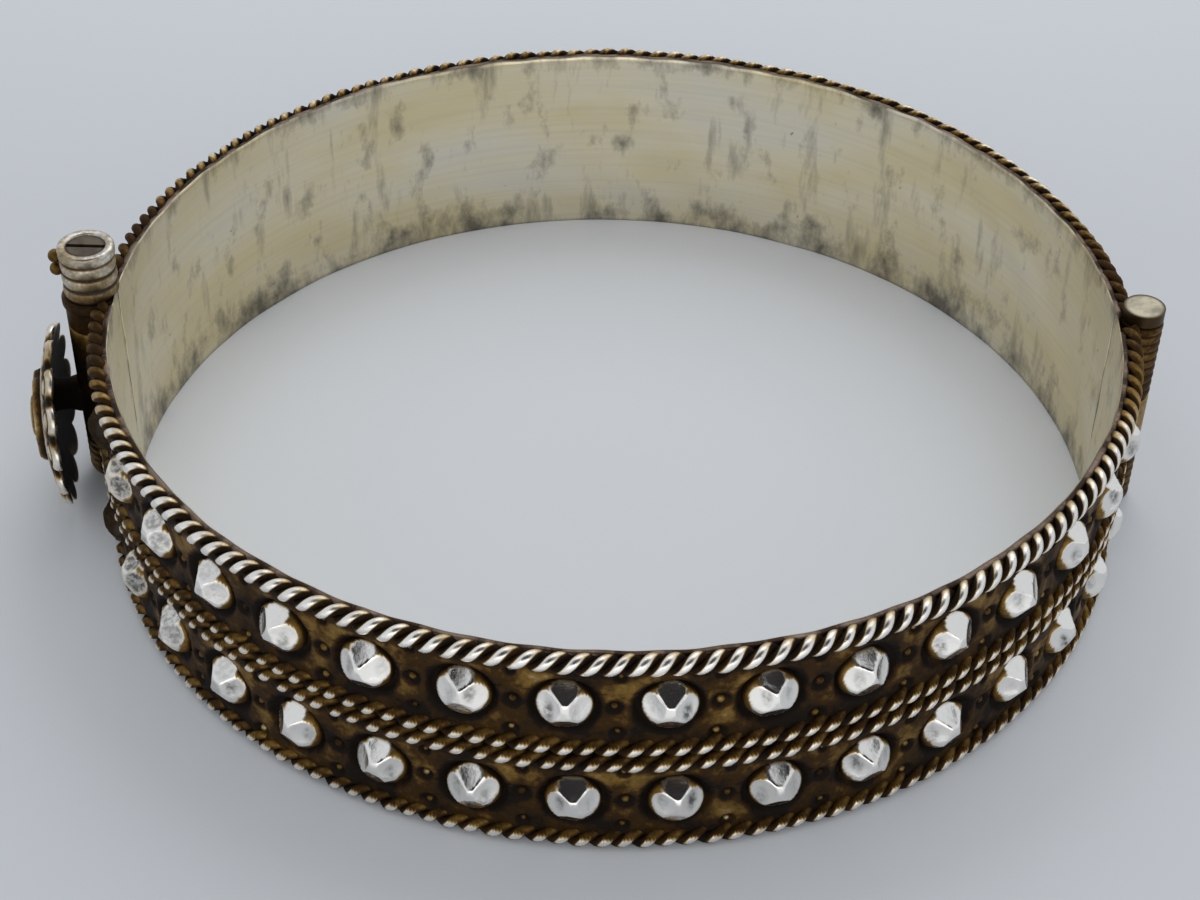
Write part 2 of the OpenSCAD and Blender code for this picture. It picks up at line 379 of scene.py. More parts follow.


# The colours of tarnished silver from rubbed to thick with dirt, which also show the painted highlights
# and shade, and of its grey stains.
TARNISH = (
    (0.0, (0.93, 0.91, 0.87)),
    (0.2, (0.84, 0.79, 0.70)),
    (0.36, (0.55, 0.44, 0.27)),
    (0.54, (0.26, 0.155, 0.04)),
    (0.72, (0.065, 0.034, 0.011)),
    (0.92, (0.010, 0.007, 0.005)),
)
GREY_STAIN = (0.10, 0.098, 0.095)


def tarnished_silver(name, smooth, stain, uneven=0.25):
    """Silver, bright where it is rubbed and where highlights are painted, golden to dark brown with dirt
    and with painted shade, and grey where it is pitted.
    """
    material, tree, main = shader(name)
    place = object_place(tree)
    clouds = noise(tree, place, 420.0)
    grain = noise(tree, place, 3200.0, detail=3.0)
    level = varied(tree, attribute(tree, "dirt", "Fac"), clouds, stain)
    level = varied(tree, level, grain, 0.25, clamp=True)
    colour = ramp(tree, level, TARNISH)
    pitted = coordinates(tree, attribute(tree, "place", "Vector"))["X"]
    pit = maths(tree, "MULTIPLY", pitted, span(tree, grain, 0.4, 0.58, 0.4, 1.0))
    colour = blend(tree, pit, colour, GREY_STAIN)
    tree.links.new(colour, main.inputs["Base Color"])
    tree.links.new(span(tree, level, 0.0, 0.9, smooth, 0.7), main.inputs["Roughness"])
    tree.links.new(span(tree, level, 0.72, 0.95, 1.0, 0.2), main.inputs["Metallic"])
    main.inputs["Specular IOR Level"].default_value = 0.1
    bump(tree, main, grain, uneven, 0.00006)
    return material


# The inner wall's colours: its warmth, and its fine lines, clouds, black spots and rust.
WALL_WARMTH = (
    (0.35, (0.75, 0.71, 0.60)),
    (0.5, (0.78, 0.71, 0.53)),
    (0.66, (0.75, 0.65, 0.41)),
)
WALL_LINE = (0.50, 0.44, 0.33)
WALL_CLOUD = (0.13, 0.12, 0.105)
WALL_SPOT = (0.03, 0.028, 0.027)
DARK_RUST = (0.03, 0.018, 0.012)
PALE_RUST = (0.20, 0.145, 0.11)


def inner_wall_silver():
    """The rubbed inside of the band: warm silver, fine lines along it, grey clouds and black spots."""
    material, tree, main = shader("inner_wall_silver")
    place = attribute(tree, "place", "Vector")
    lines = noise(tree, stretched(tree, place, 0.05, 3.2, 0.0), 1.0, detail=5.0)
    warm = noise(tree, stretched(tree, place, 0.07, 0.16, 0.0), 1.0, detail=3.0)
    blotches = noise(tree, stretched(tree, place, 0.45, 0.24, 0.0), 1.0, detail=7.0, roughness=0.64)
    streaks = noise(tree, stretched(tree, place, 0.5, 0.1, 4.0), 1.0, detail=5.0, roughness=0.6)
    spots = noise(tree, stretched(tree, place, 1.1, 0.9, 0.0), 1.0, detail=2.0)
    # The wall is warmer beside the joints than midway between them.
    from_joint = maths(tree, "PINGPONG", coordinates(tree, place)["X"], math.pi / 2 * INNER_R)
    warm = maths(tree, "ADD", warm, span(tree, from_joint, 8.0, 36.0, 0.1, 0.0))
    colour = ramp(tree, warm, WALL_WARMTH)
    colour = blend(tree, span(tree, lines, 0.45, 0.75, 0.0, 0.22), colour, WALL_LINE)
    # The dirt is high near the edges of the wall, and past one on its edges and outside.
    edge = attribute(tree, "dirt", "Fac")
    patches = noise(tree, stretched(tree, place, 0.13, 0.1, 2.0), 1.0, detail=2.0)
    edge_weight = span(tree, patches, 0.35, 0.65, 0.04, 0.24)
    cloud = maths(tree, "ADD", blotches, maths(tree, "MULTIPLY", edge, edge_weight))
    streaks = maths(tree, "ADD", streaks, span(tree, patches, 0.35, 0.65, 0.03, -0.07))
    streaks = maths(tree, "ADD", streaks, maths(tree, "MULTIPLY", edge, 0.06))
    cloud = maths(tree, "MAXIMUM", cloud, streaks)
    colour = blend(tree, span(tree, cloud, 0.55, 0.77, 0.0, 0.85), colour, WALL_CLOUD)
    colour = blend(tree, span(tree, spots, 0.74, 0.8, 0.0, 0.85), colour, WALL_SPOT)
    rust = blend(tree, span(tree, blotches, 0.45, 0.6, 0.0, 1.0), DARK_RUST, PALE_RUST)
    colour = blend(tree, span(tree, edge, EDGE_MARK - 0.4, EDGE_MARK - 0.1, 0.0, 1.0), colour, rust)
    tree.links.new(colour, main.inputs["Base Color"])
    tree.links.new(span(tree, cloud, 0.5, 0.8, 0.3, 0.5), main.inputs["Roughness"])
    main.inputs["Metallic"].default_value = 1.0
    bump(tree, main, lines, 0.12, 0.00008)
    return material


def distance_from(tree, middle):
    """The distance in metres from a point given in millimetres."""
    node = tree.nodes.new("ShaderNodeVectorMath")
    node.operation = "DISTANCE"
    tree.links.new(object_place(tree), node.inputs[0])
    node.inputs[1].default_value = Vector(middle) * MM
    return node.outputs["Value"]


def worn_disc(name, colour, rim_colour, middle, rim_r):
    """Dull metal in one colour, and another beyond a distance from a point given in millimetres."""
    material, tree, main = shader(name)
    clouds = noise(tree, object_place(tree), 900.0)
    beyond = span(tree, distance_from(tree, middle), (rim_r - 0.1) * MM, (rim_r + 0.1) * MM, 0.0, 1.0)
    base = blend(tree, span(tree, clouds, 0.42, 0.62, 0.0, 0.75), colour, tuple(0.4 * c for c in colour))
    base = blend(tree, beyond, base, rim_colour)
    tree.links.new(base, main.inputs["Base Color"])
    main.inputs["Metallic"].default_value = 0.9
    main.inputs["Roughness"].default_value = 0.42
    bump(tree, main, clouds, 0.3, 0.00005)
    return material


# The paper's brightness at distances from the centre, painted light that is lighter under the band and
# falls off outward, its tint, and its painted brighter light far behind.
PAPER_PAINTED_LIGHT = ((0, 0.68), (16, 0.70), (24, 0.75), (29, 0.755), (36, 0.635), (50, 0.59), (110, 0.50))
PAPER_TINT = (1.0, 1.033, 1.075)
PAINTED_LIGHT_BEHIND = 0.74
PAINTED_LIGHT_BEHIND_Y = (28, 120)

# The white paper in front that only the metal mirrors, and where it begins and is full.
WHITE_PAPER = (0.93, 0.93, 0.93)
WHITE_PAPER_Y = (-36, -50)


def tinted(value):
    """The paper's colour at a brightness."""
    return tuple(value * tint for tint in PAPER_TINT)


def floor_material():
    """Pale grey paper with painted light, lighter under the band and far behind and darker outward, whose
    front the metal mirrors as white, a painted reflection.
    """
    material, tree, main = shader("pale_floor")
    y = coordinates(tree, object_place(tree))["Y"]
    edge_r = PAPER_PAINTED_LIGHT[-1][0]
    outward = span(tree, distance_from(tree, (0, 0, 0)), 0.0, edge_r * MM, 0.0, 1.0)
    paper_with_painted_light = ramp(tree, outward, [(r / edge_r, tinted(value)) for r, value in PAPER_PAINTED_LIGHT])
    behind = span(tree, y, PAINTED_LIGHT_BEHIND_Y[0] * MM, PAINTED_LIGHT_BEHIND_Y[1] * MM, 0.0, 1.0)
    paper_with_painted_light = blend(tree, behind, paper_with_painted_light, tinted(PAINTED_LIGHT_BEHIND))
    front = span(tree, y, WHITE_PAPER_Y[0] * MM, WHITE_PAPER_Y[1] * MM, 0.0, 1.0)
    mirrored = maths(tree, "MULTIPLY", front, in_mirror(tree))
    tree.links.new(blend(tree, mirrored, paper_with_painted_light, WHITE_PAPER), main.inputs["Base Color"])
    main.inputs["Roughness"].default_value = 0.75
    return material


# The band's pieces.

# How many sections the sheet of a half has, and the heights of the points on its outside,
# which lie close together at the ends of the knuckles.
SHEET_COLUMNS = 420
OUTSIDE_HEIGHTS = (12.7, 11.45, 11.15, 8.1, 7.8, 4.5, 4.2, 3.75, 3.45, 1.0)


def sheet_profile():
    """The sheet's section: distances from the axis, and heights."""
    points = [(INNER_R, z) for z in np.linspace(0.06, BAND_H - 0.06, 40)]
    points += [(INNER_R + 0.1, BAND_H), (SHEET_R - 0.1, BAND_H), (SHEET_R, BAND_H - 0.08)]
    points += [(SHEET_R, z) for z in OUTSIDE_HEIGHTS]
    points += [(SHEET_R, 0.08), (SHEET_R - 0.1, 0.0), (INNER_R + 0.1, 0.0)]
    return np.array(points).T


def sheet_dirt(along, r, z):
    """Dirt near the sheet's edges, all over its outside, and in dashes at its ends."""
    near_edge = smooth_step(3.6, 0.0, z) + smooth_step(BAND_H - 1.6, BAND_H, z) * 0.7
    dirt = np.where(r > INNER_R + 0.05, EDGE_MARK, near_edge) + np.zeros_like(along)
    for end, dashes in ((0, CLASP_SEAM_DASHES), (-1, HINGE_SEAM_DASHES)):
        dark = sum(((z > low) & (z < high)).astype(float) for low, high in dashes)
        dirt[end] = np.maximum(dirt[end], 0.75 + (EDGE_MARK - 0.85) * dark)
    return dirt


def sheet_piece(half, side, body, material):
    """The curved sheet, with slightly uneven wall and edges."""
    rng = np.random.default_rng(11 + side)
    r, z = sheet_profile()
    along = np.linspace(SEAM_ANGLE, 180 - SEAM_ANGLE, SHEET_COLUMNS)[:, None] + np.zeros_like(z)
    phase = rng.uniform(0, 2 * np.pi, 8)
    turn = np.radians(along)
    ripple = sum(np.sin((9 + 5 * k) * turn + phase[k] + 0.35 * k * z) for k in range(6)) * 0.008
    inner = np.where(r < SHEET_R - 0.2, 1.0, 0.0)
    waver = 0.03 * np.sin(23 * turn + phase[6]) + 0.03 * np.sin(61 * turn + phase[7])
    rise = np.where(z > BAND_H - 0.2, waver, 0)
    reach = clear_reach(half, along, np.broadcast_to(r, along.shape), z)
    points = on_band(side, along, reach + ripple * inner, z + rise)
    arc = np.radians(along) * INNER_R * side
    place = np.stack([arc, np.broadcast_to(z, along.shape), np.zeros_like(along)], -1)
    skin = Skin()
    skin.add(*loft(points), dirt=sheet_dirt(along, r, z).ravel(), place=place)
    return skin.build(half + "_sheet", material, body)


# How finely each half's strands are drawn: points about a strand, and along one lay.
STRAND_FINENESS = {"front": (18, 26), "back": (10, 14)}

# How much the rubbing and the painted highlight fade on top of each half's highest wire.
TOP_DULL = {"front": 0.35, "back": 0.5}


def strand_wear_and_highlight(half, height, along, points):
    """Dirt on a strand, with painted highlight: bright on the crests where the wire is rubbed and the
    highlight is painted, dark in the grooves.
    """
    out = np.hypot(points[..., 0], points[..., 1]) - WIRE_R
    up = points[..., 2] - height
    crest = smooth_step(0.80, 0.93, np.hypot(out, up) / WIRE_HALF)
    # Which way a point faces: zero degrees is outward and 90 is upward.
    facing = np.degrees(np.arctan2(up, out))
    if np.mean(height) > BAND_H - 1:
        # On the top wire the bright band is rubbed crests and painted highlight together. It runs from a
        # little below the outward face over the top.
        top = 1 - TOP_DULL[half] * smooth_step(52, 96, facing)
        rubbed = smooth_step(-58, -34, facing) * top * smooth_step(150, 110, facing)
        near_joint = smooth_step(32, 12, along) + smooth_step(152, 172, along)
        base = 0.9 - 0.14 * near_joint[:, None]
        rubbed = rubbed * (1 - 0.9 * near_joint[:, None])
    else:
        # On the other wires the rubbed crests are bright only in a painted highlight just below and above
        # the outward face, and the upper side is painted lighter, a golden sheen.
        rubbed = smooth_step(-42, -16, facing) * smooth_step(31, 8, facing)
        base = 0.87 - 0.2 * smooth_step(0, 60, facing)
    return base * (1 - rubbed * crest)


def wound_tube(centre, axis, radius, sides):
    """Sections of a round tube whose middle winds about an axis, each square to the middle line."""
    way = np.gradient(centre, axis=0)
    way /= np.linalg.norm(way, axis=1, keepdims=True)
    lean = centre - axis
    lean -= way * np.einsum("ij,ij->i", lean, way)[:, None]
    lean /= np.linalg.norm(lean, axis=1, keepdims=True)
    across = np.cross(way, lean)
    angle = around(sides)[None, :, None]
    spokes = np.cos(angle) * lean[:, None] + np.sin(angle) * across[:, None]
    return centre[:, None] + radius[:, None, None] * spokes


def strand(half, side, height, phase, rng):
    """One of a wire's strands, slightly uneven: points, and dirt with painted highlight."""
    sides, per_lay = STRAND_FINENESS[half]
    lay = STRANDS * LOBE_PITCH
    first, last = ends(half, WIRE_R, height, spread=WIRE_HALF)
    length = np.radians(last - first) * WIRE_R
    count = int(length / lay * per_lay)
    along = np.linspace(first, last, count)
    arc = np.radians(along) * WIRE_R
    wobble = rng.uniform(0, 2 * np.pi, 4)
    turn = 2 * np.pi * arc / lay + phase + 0.25 * np.sin(arc * 0.55 + wobble[3])
    lift = 0.03 * np.sin(arc * 0.9 + wobble[0]) + 0.02 * np.sin(arc * 2.3 + wobble[1])
    offset = WIRE_HALF - STRAND_R
    # Seen from outside, the strands on the near side rise to the right all round.
    out_turn = side * turn
    centre_r = WIRE_R + offset * np.cos(out_turn)
    centre_z = height + lift + offset * np.sin(out_turn)
    centre = on_band(side, along, centre_r, centre_z)
    axis = on_band(side, along, WIRE_R, height + lift)
    fat = STRAND_R * (1 + 0.05 * np.sin(arc * 1.7 + wobble[2]))
    points = wound_tube(centre, axis, fat, sides)
    # The outermost crests are worn flat.
    reach = np.hypot(points[..., 0], points[..., 1])
    worn = WIRE_R + WIRE_HALF - 0.02
    scale = np.where(reach > worn, worn / reach, 1.0)
    points[..., :2] *= scale[..., None]
    return points, strand_wear_and_highlight(half, height + lift[:, None], along, points)


def wires_pieces(half, side, body, material):
    """The lower two and the upper two twisted wires of a half."""
    rng = np.random.default_rng(31 + side)
    for level, heights in (("lower", WIRE_HEIGHTS[:2]), ("upper", WIRE_HEIGHTS[2:])):
        skin = Skin()
        for height in heights:
            start = rng.uniform(0, 2 * np.pi)
            for i in range(STRANDS):
                points, dirt = strand(half, side, height, start + i * 2 * np.pi / STRANDS, rng)
                skin.add(*loft(points), dirt=dirt.ravel())
        skin.build(half + "_" + level + "_wires", material, body)


def stud_angles(row):
    """The angles of a row's studs from the clasp."""
    return row["first"] + row["step"] * np.arange(row["count"])


def grain_places(row, strip):
    """Angle, height and radius of the dimples on each web between two studs."""
    low, high = strip
    middles = stud_angles(row)[:-1] + row["step"] / 2
    out = []
    for angle in middles:
        out += [(angle, row["height"] + 0.1, 0.58), (angle, low + 0.72, 0.52), (angle, high - 0.62, 0.36)]
    return out


# How far along the band a pocket and a dimple are looked for, in degrees.
POCKET_REACH = 6
DIMPLE_REACH = 3

# How deep a dimple is and how high its grain stands, as shares of the strip's thickness, and the grain's
# radius as a share of the dimple's.
DIMPLE_DEPTH = 0.62
GRAIN_LIFT = 0.42
GRAIN_SHARE = 0.42


class StripFace:
    """A strip's points, in columns along the band: how far each stands out and how dark it is."""

    def __init__(self, half, strip):
        step = STRIP_STEP[half]
        self.low, self.high = strip
        self.z = np.linspace(self.low, self.high, round((self.high - self.low) / step))
        first, last = ends(half, SHEET_R + STRIP_T / 2, self.z)
        columns = int(np.radians(180) * SHEET_R / step)
        self.along = first + np.linspace(0, 1, columns)[:, None] * (last - first)
        self.arc = np.radians(self.along) * SHEET_R
        self.heights = np.broadcast_to(self.z, self.along.shape)
        self.relief = np.ones_like(self.along)
        self.shade = np.zeros_like(self.along)

    def near(self, angle, height, reach):
        """Which columns lie within reach of an angle, and how far their points are from a place."""
        columns = np.abs(self.along[:, 0] - angle) < reach
        aside = self.arc[columns] - math.radians(angle) * SHEET_R
        return columns, np.hypot(aside, self.heights[columns] - height)

    def sink_pocket(self, angle, height):
        """Takes the strip away about a stud, and paints shade on the pocket's edge, most of all above."""
        near, d = self.near(angle, height, POCKET_REACH)
        self.relief[near] *= smooth_step(POCKET_R - 0.22, POCKET_R + 0.16, d)
        above = 0.55 + 0.45 * smooth_step(-0.4, 1.2, self.heights[near] - height)
        self.shade[near] += above * (1 - smooth_step(POCKET_R - 0.15, POCKET_R + 0.35, d))

    def sink_dimple(self, angle, height, radius):
        """Lowers the strip about a grain and paints shade in the dimple."""
        near, d = self.near(angle, height, DIMPLE_REACH)
        self.relief[near] *= 1 - DIMPLE_DEPTH * (1 - smooth_step(radius * 0.45, radius, d))
        self.shade[near] += 0.8 * (1 - smooth_step(radius * 0.6, radius * 1.25, d))

    def sections(self, side):
        """The strip's closed sections, with a slightly wavy face."""
        waves = 0.02 * np.sin(self.arc * 1.3 + self.z * 2)
        waves += 0.015 * np.sin(self.arc * 3.1 - self.z * 1.4 + 1)
        r = SHEET_R + 0.02 + (STRIP_T + waves) * self.relief
        outer = on_band(side, self.along, r, self.heights)
        inner = on_band(side, self.along[:, [-1, 0]], SHEET_R - 0.15, self.z[[-1, 0]])
        return np.concatenate([outer, inner], 1)

    def dirt(self, stud_height):
        """The sections' dirt and painted shade: golden high on the webs, darker beside the wires, darker
        near the clasp from tarnish and painted shadow, and with the pockets' and dimples' painted shade.
        """
        level = 0.69 + 0.18 * smooth_step(stud_height, self.low, self.heights)
        level += 0.22 * smooth_step(self.high - 0.8, self.high - 0.2, self.heights)
        # Near the clasp the strip is darker, partly from tarnish and partly from painted shadow.
        level += 0.2 * smooth_step(45, 12, self.along)
        # The pockets and dimples get their painted shade.
        level = np.minimum(level + 0.45 * self.shade, 1.0)
        return np.concatenate([level, np.full((len(level), 2), 0.9)], 1)


def strip_piece(half, side, body, material):
    """Both raised strips, with a pocket about each stud and dimples with grains between them."""
    rng = np.random.default_rng(51 + side)
    skin = Skin()
    for strip, row in zip(STRIP_SPANS, STUD_ROWS[::-1]):
        face = StripFace(half, strip)
        for angle in stud_angles(row):
            face.sink_pocket(angle, row["height"])
        for angle, height, radius in grain_places(row, strip):
            height += rng.uniform(-0.15, 0.15)
            angle += rng.uniform(-0.3, 0.3)
            radius *= rng.uniform(0.8, 1.1)
            face.sink_dimple(angle, height, radius)
            grain = on_band(side, angle, SHEET_R + STRIP_T * GRAIN_LIFT, height)
            skin.add(*ball(radius * GRAIN_SHARE, grain), dirt=0.62)
        skin.add(*loft(face.sections(side)), dirt=face.dirt(row["height"]).ravel())
    return skin.build(half + "_strips", material, body)


# A stud's flats: turn along the band, tilt upward, distance from the ball's middle, depth of the hollow.
STUD_FLATS = (
    (0, 55, 1.36, 0.05),
    (38, 12, 1.34, 0.05),
    (-38, 12, 1.34, 0.05),
    (0, -29, 1.4, 0.0),
    (0, 0, 1.5, 0.0),
)

# How finely each half's studs are drawn: rings and sides.
STUD_FINENESS = {"front": (26, 46), "back": (20, 34)}


def round_stud(rings, sides):
    """A stud before its flats are hammered, shaped (rings, sides, 3) as out, along and up."""
    polar = np.radians(np.linspace(1.0, 88.0, rings))[:, None]
    turn = around(sides)[None, :]
    wide = np.sin(polar)
    unit = np.stack(np.broadcast_arrays(np.cos(polar), wide * np.cos(turn), wide * np.sin(turn)), -1)
    return unit * STUD_R


def flat_facing(rng, flat_turn, tilt):
    """The way that a flat faces, turned slightly by chance."""
    a = math.radians(flat_turn + rng.uniform(-7, 7))
    b = math.radians(tilt + rng.uniform(-5, 5))
    return np.array([math.cos(b) * math.cos(a), math.cos(b) * math.sin(a), math.sin(b)])


def flat_spot(rng, off_middle, radius):
    """How dark a side flat is about its spot, which is taller than it is wide."""
    spot = off_middle - np.array([0, rng.uniform(-0.32, 0.32), rng.uniform(-0.35, 0.25)])
    narrow = np.hypot(spot[..., 1] * 1.9, spot[..., 2]) / radius
    return smooth_step(0.95, 0.2, narrow) * rng.uniform(0.2, 0.95)


def stud_shape(rng, rings, sides):
    """One stud's points, as out, along and up, and three measures of each point: how dark its spot is,
    how rubbed it is and how near the middle of a flat."""
    points = round_stud(rings, sides)
    pit, rubbed, heart = np.zeros((3, rings, sides))
    for flat_turn, tilt, depth, hollow in STUD_FLATS:
        normal = flat_facing(rng, flat_turn, tilt)
        depth += rng.uniform(-0.04, 0.03)
        reach = points @ normal
        cut = reach > depth
        points = np.where(cut[..., None], points * (depth / np.maximum(reach, 1e-6))[..., None], points)
        radius = math.sqrt(STUD_R ** 2 - depth ** 2)
        off_middle = points - normal * depth
        from_middle = np.linalg.norm(off_middle, axis=-1) / radius
        bowl = np.where(cut, np.clip(1 - from_middle ** 2, 0, 1), 0)
        points = points - (hollow * rng.uniform(0.6, 1.4) * bowl)[..., None] * normal
        rubbed = np.maximum(rubbed, np.where(cut, smooth_step(1.0, 0.9, from_middle), 0))
        heart = np.where(cut, smooth_step(0.9, 0.7, from_middle), heart)
        if flat_turn:
            pit = np.maximum(pit, np.where(cut, flat_spot(rng, off_middle, radius), 0))
    return points, pit, rubbed, heart


# How dark the front half's first studs are from the clasp on: all over, and on their flats.
CLASP_SIDE_DULL = ((0.9, 0.0), (0.85, 0.0), (0.2, 0.9), (0.05, 0.6), (0.0, 0.25))


def studs_piece(half, side, body, material):
    """Both rows of studs, each turned and placed slightly by chance."""
    rng = np.random.default_rng(71 + side)
    skin = Skin()
    for row in STUD_ROWS:
        for i, angle in enumerate(stud_angles(row)):
            points, pit, rubbed, heart = stud_shape(rng, *STUD_FINENESS[half])
            out, along, up = points[..., 0], points[..., 1] * side, points[..., 2]
            turn = math.pi + side * math.radians(angle + rng.uniform(-0.25, 0.25))
            r = SHEET_R - STUD_SINK + out
            x = r * math.cos(turn) - along * math.sin(turn)
            y = r * math.sin(turn) + along * math.cos(turn)
            z = row["height"] + rng.uniform(-0.05, 0.05) + up
            rubbed = np.maximum(rubbed, smooth_step(0.85, 1.05, out)) * smooth_step(0.12, 0.45, out)
            dirt = (1 - rubbed) * (0.56 + 0.4 * smooth_step(0.6, 0.2, out))
            if half == "front" and i < len(CLASP_SIDE_DULL):
                whole, flat = CLASP_SIDE_DULL[i]
                dirt = np.maximum(dirt, whole)
                pit = np.maximum(pit, flat * heart)
            place = np.stack([pit, np.zeros_like(pit), np.zeros_like(pit)], -1)
            skin.add(*loft(np.stack([x, y, z], -1)), dirt=dirt.ravel(), place=place)
    return skin.build(half + "_studs", material, body)


# The clasp and the hinge.

# The height of the collar's bright top rim, and the grains on its outer side.
RIM_H = 0.7
GRAIN_R = 0.42
GRAIN_HEIGHTS = (15.95, 15.05)

# The height and depth of the ribs on the hinge's knuckles.
HINGE_RIB_STEP = 0.6
HINGE_RIB_DEPTH = 0.14


def against_sheet(verts, faces):
    """Draws a knuckle's skin out to the sheet where the sheet passes inside it."""
    verts = np.array(verts, float)
    reach = np.hypot(verts[:, 0], verts[:, 1])
    inside = (reach < KNUCKLE_FACE_R) & (verts[:, 2] < BAND_H)
    verts[inside, :2] *= (KNUCKLE_FACE_R / reach[inside])[:, None]
    return verts, faces


def clasp_barrel(skin, bore, wide):
    """The front half's knuckle of the clasp, with painted shadow of the rosette, darkest behind it, on
    all but its top.
    """
    low, high = CLASP["own"]
    wall = [(wide, z) for z in np.linspace(low + 0.08, high - 0.08, 12)]
    profile = np.array([(bore, low), (wide - 0.08, low)] + wall + [(wide - 0.08, high), (bore, high)])
    # Painted shadow: below its top the barrel is darker, behind the rosette.
    dirt = np.tile(0.68 + 0.27 * smooth_step(high - 0.5, high - 3, profile[:, 1]), TURNED_SIDES)
    skin.add(*against_sheet(*revolve(profile, -CLASP["axis_r"])), dirt=dirt)


def clasp_foot(skin, bore, wide):
    """The ribbed lower knuckle, with a closed, rounded foot."""
    top = CLASP["own"][0] - KNUCKLE_GAP
    foot = [(0.01, FOOT_Z), (1.1, FOOT_Z), (1.45, 0.14), (1.6, 0.36)]
    wall = rib_wall(wide, 0.45, top - 0.05, 6, 0.1).tolist()
    blind = [(wide - 0.1, top), (bore, top), (bore, 0.65), (0.01, 0.65)]
    skin.add(*against_sheet(*revolve(foot + wall + blind, -CLASP["axis_r"])), dirt=0.66)


def clasp_flange(skin, bore, wide):
    """The short upper knuckle and the flange on it."""
    low = CLASP["own"][1] + KNUCKLE_GAP
    neck = [(bore, low), (wide, low), (wide, FLANGE_Z - 0.05), (wide + 0.08, FLANGE_Z)]
    flange = [(wide + 0.15, FLANGE_Z + 0.15), (wide + 0.15, COLLAR_Z - 0.15), (wide - 0.02, COLLAR_Z)]
    profile = softened(neck + flange + [(bore, COLLAR_Z)], 0.04)
    skin.add(*against_sheet(*revolve(profile, -CLASP["axis_r"])), dirt=0.84)


def clasp_collar(skin, bore, wide):
    """The ribbed collar with its bright rim, slightly greyed."""
    rim_z = COLLAR_TOP_Z - RIM_H
    ribs = rib_wall(wide - 0.04, COLLAR_Z + 0.02, rim_z - 0.04, 3, 0.17).tolist()
    rim = [(wide - 0.1, rim_z), (wide, rim_z + 0.12)]
    rim += [(wide, COLLAR_TOP_Z - 0.14), (wide - 0.06, COLLAR_TOP_Z - 0.03), (wide - 0.2, COLLAR_TOP_Z)]
    lip = [(bore + 0.1, COLLAR_TOP_Z - 0.02), (bore, COLLAR_TOP_Z - 0.08), (bore, COLLAR_Z - 0.05)]
    profile = np.array([(bore + 0.2, COLLAR_Z - 0.05)] + ribs + rim + lip)
    groove = smooth_step(wide - 0.07, wide - 0.17, profile[:, 0]) * (profile[:, 1] < rim_z + 0.05)
    lower = smooth_step(rim_z, COLLAR_Z, profile[:, 1])
    dirt = np.tile(np.minimum(0.26 + 0.28 * lower + 0.75 * groove, 1.0), TURNED_SIDES)
    greyed = np.zeros((len(dirt), 3))
    greyed[:, 0] = 0.45
    skin.add(*revolve(profile, -CLASP["axis_r"]), dirt=dirt, place=greyed)


def clasp_knuckles(half, body, material):
    """A half's knuckles of the clasp, and the rear half's flange, collar and grains."""
    bore, wide = CLASP["bore_r"], CLASP["knuckle_r"]
    skin = Skin()
    if half == "front":
        clasp_barrel(skin, bore, wide)
    else:
        clasp_foot(skin, bore, wide)
        clasp_flange(skin, bore, wide)
        clasp_collar(skin, bore, wide)
        grain_x = -CLASP["axis_r"] - wide - GRAIN_R / 2
        for grain_z in GRAIN_HEIGHTS:
            skin.add(*ball(GRAIN_R, (grain_x, 0, grain_z), 12, 20), dirt=0.6)
    return skin.build(half + "_clasp_knuckles", material, body)


def hinge_knuckles(half, body, material):
    """A half's knuckles of the hinge: one plain barrel in front, and two ribbed ones on the rear half."""
    x = HINGE["axis_r"]
    bore, wide = HINGE["bore_r"], HINGE["knuckle_r"]
    low, high = HINGE["own"]
    skin = Skin()
    if half == "front":
        barrel = softened([(bore, low), (wide, low), (wide, high), (bore, high)])
        skin.add(*revolve(barrel, x), dirt=0.45)
    else:
        for z0, z1 in ((FOOT_Z, low - KNUCKLE_GAP), (high + KNUCKLE_GAP, HINGE_TOP_Z)):
            ribs = round((z1 - z0) / HINGE_RIB_STEP)
            wall = rib_wall(wide, z0, z1, ribs, HINGE_RIB_DEPTH)
            profile = np.concatenate([[(bore, z0)], wall, [(bore, z1)]])
            groove = smooth_step(wide - 0.02, wide - 0.12, profile[:, 0])
            skin.add(*revolve(profile, x), dirt=np.tile(0.68 + 0.27 * groove, TURNED_SIDES))
    return skin.build(half + "_hinge_knuckles", material, body)


# The rosette: a domed flower on a stem, facing outward from the clasp.
ROSETTE_R = 5.68
PETALS = 14
PETAL_HALF = 1.15
PETAL_T = 0.5
DOME = 1.0
BOWL_R = (ROSETTE_R ** 2 + DOME ** 2) / (2 * DOME)
FLOWER_R = 2.88
FLOWER_PETALS = 10
FLOWER_RISE = 0.3
BOSS_R = 1.33
BOSS_RISE = 0.35

# The rings stamped on its petals, on the flower's petals and on the boss: radius and width, and depth.
PETAL_STAMP = (0.6, 0.13)
PETAL_STAMP_DEPTH = 0.09
FLOWER_STAMP = (0.45, 0.12)
FLOWER_STAMP_DEPTH = 0.08
BOSS_STAMP = (0.68, 0.13)
BOSS_STAMP_DEPTH = 0.12

# How far the face falls between two petals and at the rim.
VALLEY_DEPTH = 0.14
RIM_FALL = 0.14

# Its place: height of its middle, turn, distance of the rim's plane from the axis, shift to the front.
ROSETTE_Z = 5.95
ROSETTE_TURN = 190.0
RIM_OUT = 2.4
ROSETTE_SHIFT = 2.0

# The stem's sections: distance from the axis, and radius.
STEM = ((1.3, 1.18), (1.75, 1.16), (2.3, 1.0), (3.0, 1.02), (RIM_OUT + DOME + 0.08, 1.16))


